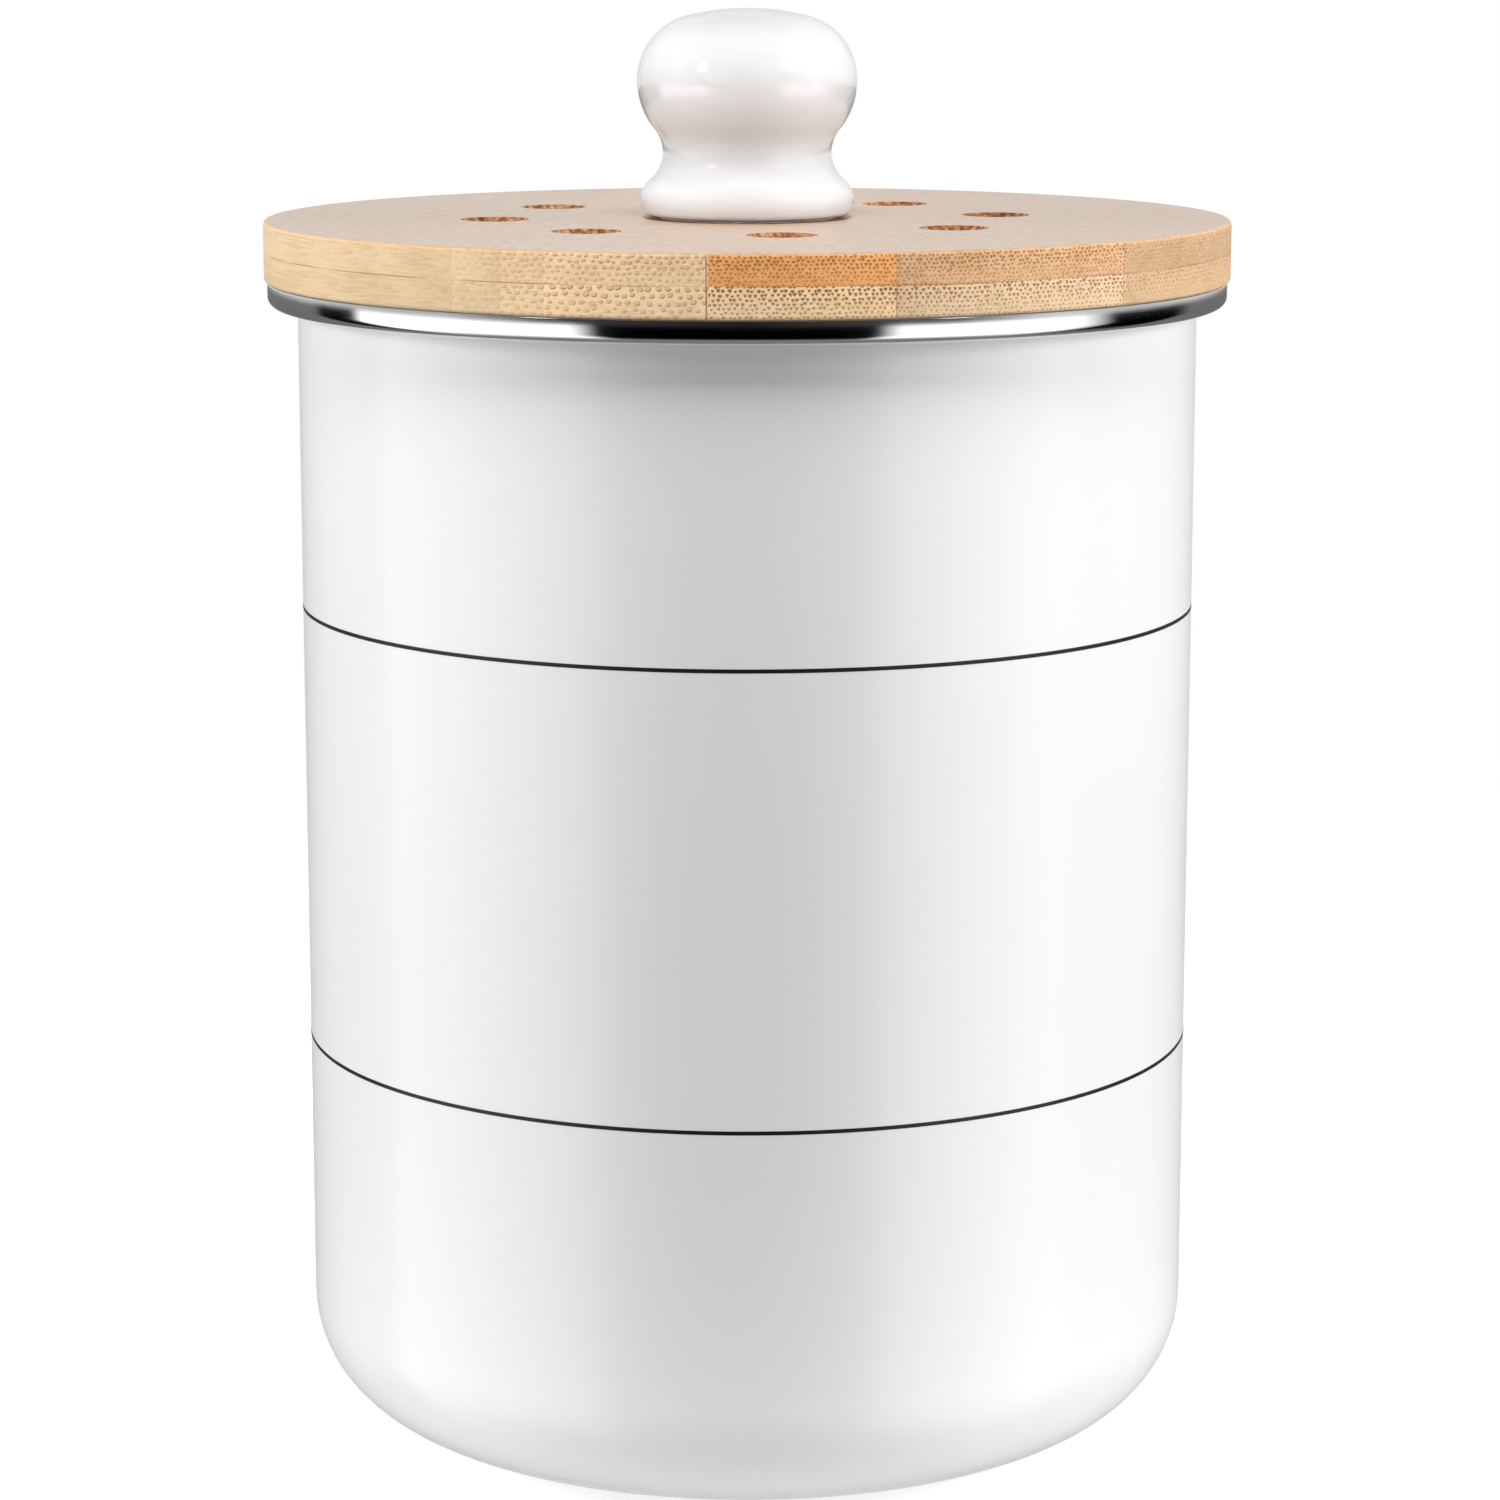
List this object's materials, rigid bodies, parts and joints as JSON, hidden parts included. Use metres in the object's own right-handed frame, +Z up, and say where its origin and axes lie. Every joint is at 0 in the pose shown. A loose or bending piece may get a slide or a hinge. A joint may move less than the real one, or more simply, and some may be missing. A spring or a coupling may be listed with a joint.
{
  "type": "food waste caddy",
  "caption": "Round countertop food waste bin of coated steel with a polished rim, a vented wooden lid with a ceramic knob, and a lift-out inner bucket.",
  "frame": {"origin": "centre of the base, on the surface that the caddy stands on", "axes": "+Z up along the bin's axis, -Y towards the front, +X to the right seen from the front"},
  "size_m": [0.191, 0.191, 0.2827],
  "materials": {
    "coated_steel": "smooth white coating, satin to gloss, with two thin black pinstripes",
    "polished_steel": "mirror polished stainless steel",
    "bamboo": "oiled bamboo, fine straight grain on the faces, fibre dots on the end grain",
    "white_glaze": "glossy white glaze",
    "bucket_plastic": "moulded grey plastic",
    "bail_plastic": "moulded dark grey plastic",
    "filter_plastic": "moulded off-white plastic",
    "silicone": "soft translucent silicone",
    "charcoal_felt": "black carbon felt",
    "brass": "turned brass",
    "screw_steel": "bright zinc-plated steel"
  },
  "bodies": {
    "bin": {"bin_shell": "coated_steel", "rim_band": "polished_steel"},
    "bucket": {"inner_bucket": "bucket_plastic"},
    "bail": {"bucket_bail": "bail_plastic"},
    "lid": {"lid_lower_board": "bamboo", "lid_upper_board": "bamboo", "lid_plug": "bamboo", "lid_seal": "silicone", "knob": "white_glaze", "knob_pad": "silicone", "knob_insert": "brass", "knob_washer": "screw_steel", "knob_screw": "screw_steel", "filter_ring": "filter_plastic", "filter_ring_screws": "screw_steel"},
    "filter": {"filter_cover": "filter_plastic", "charcoal_filter": "charcoal_felt"}
  },
  "joints": [
    {"name": "bucket_lift", "type": "slide", "parent": "bin", "child": "bucket", "axis": [0, 0, 1], "range_m": [0, 0.24]},
    {"name": "lid_lift", "type": "slide", "parent": "bucket", "child": "lid", "axis": [0, 0, 1], "range_m": [0, 0.2]},
    {"name": "bail_swing", "type": "hinge", "parent": "bucket", "child": "bail", "pos_m": [0, 0, 0.2039], "axis": [1, 0, 0], "range_deg": [0, 107]},
    {"name": "cover_pull", "type": "slide", "parent": "lid", "child": "filter", "axis": [0, 0, -1], "range_m": [0, 0.03]}
  ],
  "couplings": [
    {"joint": "bail_swing", "follows": "lid_lift", "rad_per_m": 9.337}
  ]
}
